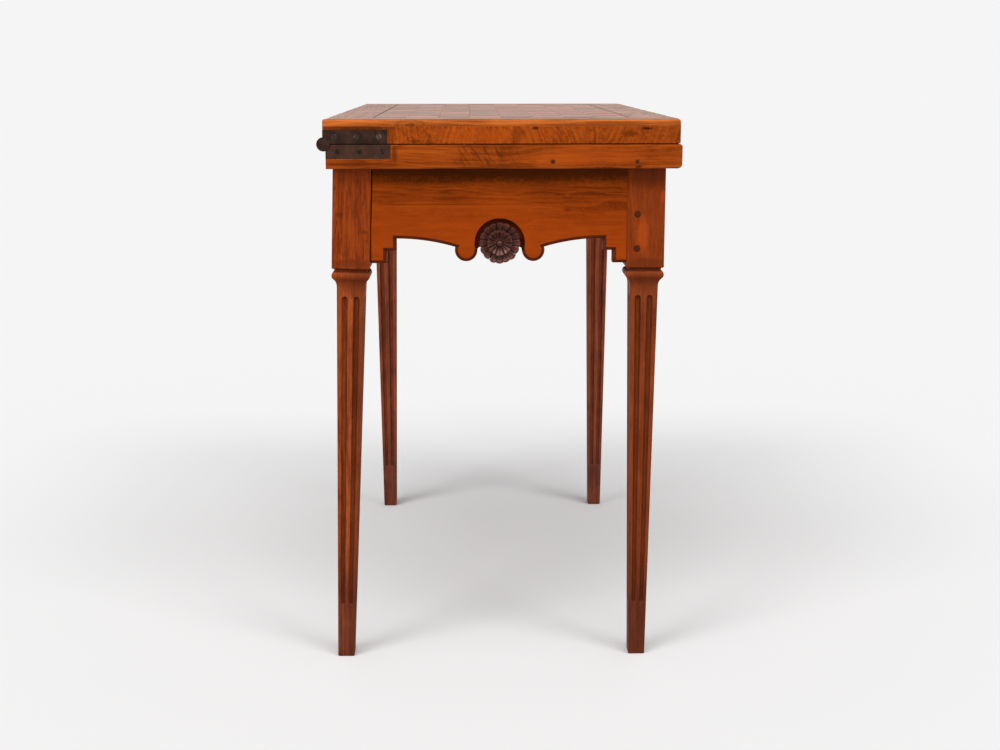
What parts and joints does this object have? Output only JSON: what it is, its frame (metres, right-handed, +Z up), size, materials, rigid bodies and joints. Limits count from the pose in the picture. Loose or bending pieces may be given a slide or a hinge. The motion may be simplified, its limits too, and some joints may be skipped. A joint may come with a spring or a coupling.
{
  "type": "games table",
  "caption": "Fold-over games table with a parquetry flap on iron strap hinges, shaped aprons with carved rosettes, fluted tapered legs and a swing leg to carry the open flap.",
  "frame": {"origin": "on the floor, under the middle of the closed table's box", "axes": "+X towards the front long side, -X the hinged back, +Y along the table away from the swing leg, +Z up"},
  "size_m": [0.469, 0.8, 0.74],
  "materials": {
    "leaf_cherry": "old wax polish, worn",
    "apron_cherry": "old wax polish",
    "leg_walnut": "old wax polish, rubbed",
    "dark_carving": "dark stained, waxed",
    "pale_square": "old wax polish",
    "dark_square": "old wax polish",
    "string_line": "ebonised",
    "rail_oak": "unpolished, aged",
    "peg_wood": "end grain, waxed",
    "wrought_iron": "forged, browned",
    "screw_iron": "worn, dull",
    "green_cloth": "worn baize"
  },
  "bodies": {
    "frame": {"fixed_leaf_panel": "leaf_cherry", "near_clamp": "leaf_cherry", "far_clamp": "leaf_cherry", "clamp_pegs": "peg_wood", "fixed_leaf_cloth": "green_cloth", "near_leaf_strap": "wrought_iron", "far_leaf_strap": "wrought_iron", "leaf_strap_screws": "screw_iron", "near_hinge_pin": "wrought_iron", "far_hinge_pin": "wrought_iron", "near_end_apron": "apron_cherry", "far_end_apron": "apron_cherry", "front_apron": "apron_cherry", "near_end_rosette": "dark_carving", "far_end_rosette": "dark_carving", "front_rosette": "dark_carving", "apron_draw_pegs": "peg_wood", "back_draw_pegs": "peg_wood", "near_front_leg": "leg_walnut", "far_front_leg": "leg_walnut", "far_back_leg": "leg_walnut", "inner_back_rail": "rail_oak", "outer_back_rail": "rail_oak", "knuckle_pin": "wrought_iron", "rail_screws": "screw_iron", "glue_blocks": "rail_oak", "block_screws": "screw_iron"},
    "flap": {"flap_boards": "leaf_cherry", "flap_border": "leaf_cherry", "parquet_ground": "rail_oak", "flap_string": "string_line", "light_squares": "pale_square", "dark_squares": "dark_square", "flap_cloth": "green_cloth", "near_flap_strap": "wrought_iron", "far_flap_strap": "wrought_iron", "flap_strap_screws": "screw_iron"},
    "gate": {"swing_leg": "leg_walnut", "fly_rail": "rail_oak", "gate_draw_pegs": "peg_wood"}
  },
  "joints": [
    {"name": "flap_hinge", "type": "hinge", "parent": "frame", "child": "flap", "pos_m": [-0.2255, 0, 0.7084], "axis": [0, -1, 0], "range_deg": [0, 180]},
    {"name": "leg_swing", "type": "hinge", "parent": "frame", "child": "gate", "pos_m": [-0.2036, 0.012, 0.63], "axis": [0, 0, -1], "range_deg": [0, 90]}
  ]
}
